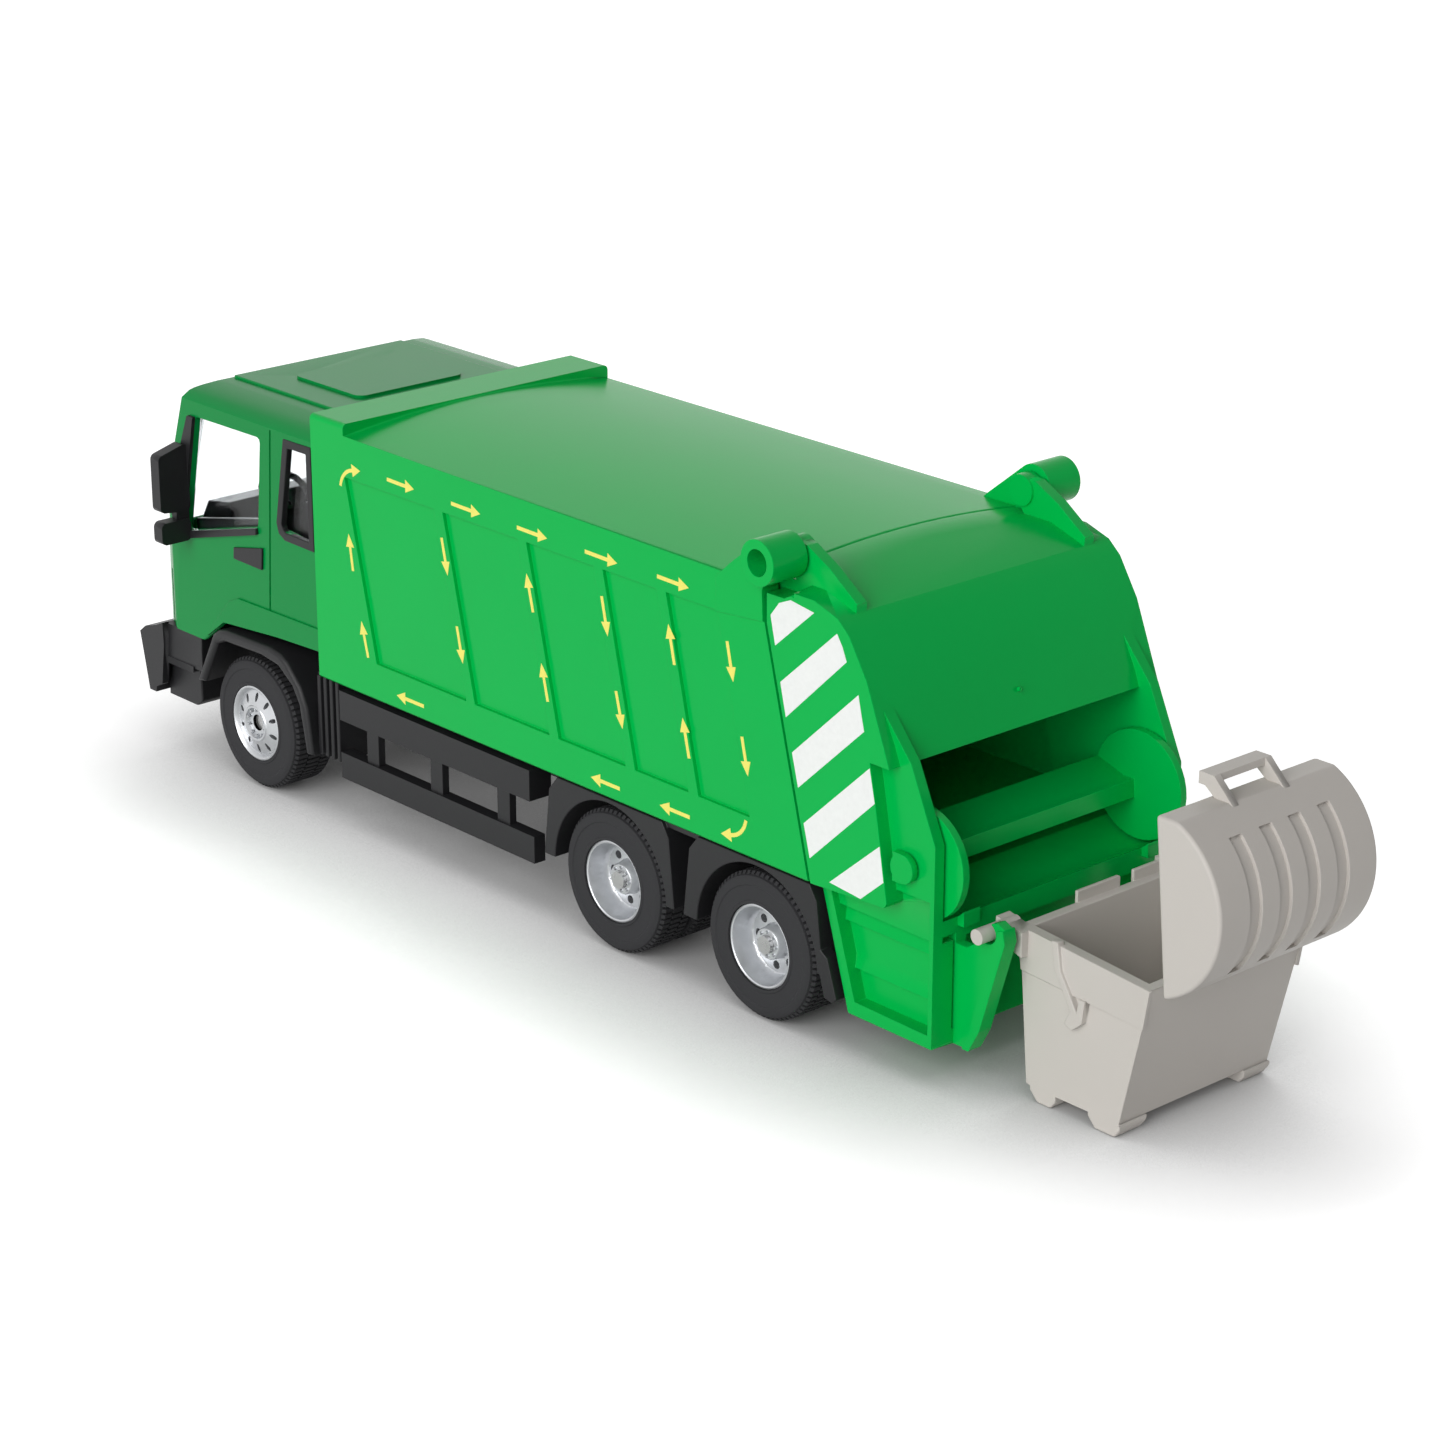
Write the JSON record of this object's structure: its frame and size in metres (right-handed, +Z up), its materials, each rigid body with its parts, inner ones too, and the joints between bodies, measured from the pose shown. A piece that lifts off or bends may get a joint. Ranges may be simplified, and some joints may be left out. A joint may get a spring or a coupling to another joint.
{
  "type": "toy garbage truck",
  "caption": "Toy rear-loader garbage truck with a closed cab, ribbed container, lifting tailgate, turning scoop and a hung waste bin with a lid.",
  "frame": {"origin": "on the floor, under the middle of the toy's overall length and width", "axes": "+X towards the cab's front, +Y to the truck's left, +Z up"},
  "size_m": [0.216, 0.0594, 0.0692],
  "materials": {
    "green_plastic": "glossy moulded plastic",
    "green_paint": "gloss paint on die-cast metal",
    "black_plastic": "satin moulded plastic",
    "grey_plastic": "satin moulded plastic",
    "silver_rim": "silver-plated plastic",
    "tyre": "soft moulded tyre",
    "steel": "drawn steel wire",
    "window": "clear plastic",
    "lamp": "clear plastic over silver"
  },
  "bodies": {
    "truck": {"container": "green_plastic", "cab_shell": "green_paint", "cab_glazing": "window", "cab_interior": "black_plastic", "steering_wheel": "black_plastic", "grille": "black_plastic", "front_bumper": "black_plastic", "chassis_frame": "black_plastic", "door_handle_left": "black_plastic", "mirror_left": "black_plastic", "headlamp_left": "lamp", "front_fender_left": "black_plastic", "side_guard_left": "black_plastic", "mudguard_left": "black_plastic", "door_handle_right": "black_plastic", "mirror_right": "black_plastic", "headlamp_right": "lamp", "front_fender_right": "black_plastic", "side_guard_right": "black_plastic", "mudguard_right": "black_plastic"},
    "wheels_front": {"axle_front": "steel", "tyre_front_left": "tyre", "rim_front_left": "silver_rim", "tyre_front_right": "tyre", "rim_front_right": "silver_rim"},
    "wheels_middle": {"axle_middle": "steel", "tyre_middle_left": "tyre", "rim_middle_left": "silver_rim", "tyre_middle_right": "tyre", "rim_middle_right": "silver_rim"},
    "wheels_rear": {"axle_rear": "steel", "tyre_rear_left": "tyre", "rim_rear_left": "silver_rim", "tyre_rear_right": "tyre", "rim_rear_right": "silver_rim"},
    "tailgate": {"tailgate": "green_plastic"},
    "scoop": {"packer_scoop": "green_plastic"},
    "bin": {"waste_bin": "grey_plastic"},
    "lid": {"bin_lid": "grey_plastic"}
  },
  "joints": [
    {"name": "front_axle_roll", "type": "hinge", "parent": "truck", "child": "wheels_front", "pos_m": [0.0787, 0, 0.0104], "axis": [0, 1, 0], "continuous": true},
    {"name": "middle_axle_roll", "type": "hinge", "parent": "truck", "child": "wheels_middle", "pos_m": [-0.0062, 0, 0.0104], "axis": [0, 1, 0], "continuous": true},
    {"name": "rear_axle_roll", "type": "hinge", "parent": "truck", "child": "wheels_rear", "pos_m": [-0.0362, 0, 0.0104], "axis": [0, 1, 0], "continuous": true},
    {"name": "tailgate_lift", "type": "hinge", "parent": "truck", "child": "tailgate", "pos_m": [-0.0407, 0, 0.0661], "axis": [0, 1, 0], "range_deg": [0, 75]},
    {"name": "scoop_turn", "type": "hinge", "parent": "tailgate", "child": "scoop", "pos_m": [-0.0636, 0, 0.0303], "axis": [0, 1, 0], "continuous": true},
    {"name": "bin_lift", "type": "hinge", "parent": "tailgate", "child": "bin", "pos_m": [-0.0738, 0, 0.0233], "axis": [0, 1, 0], "range_deg": [0, 50]},
    {"name": "lid_turn", "type": "hinge", "parent": "bin", "child": "lid", "pos_m": [-0.0981, 0, 0.0225], "axis": [0, 1, 0], "range_deg": [0, 83]}
  ]
}
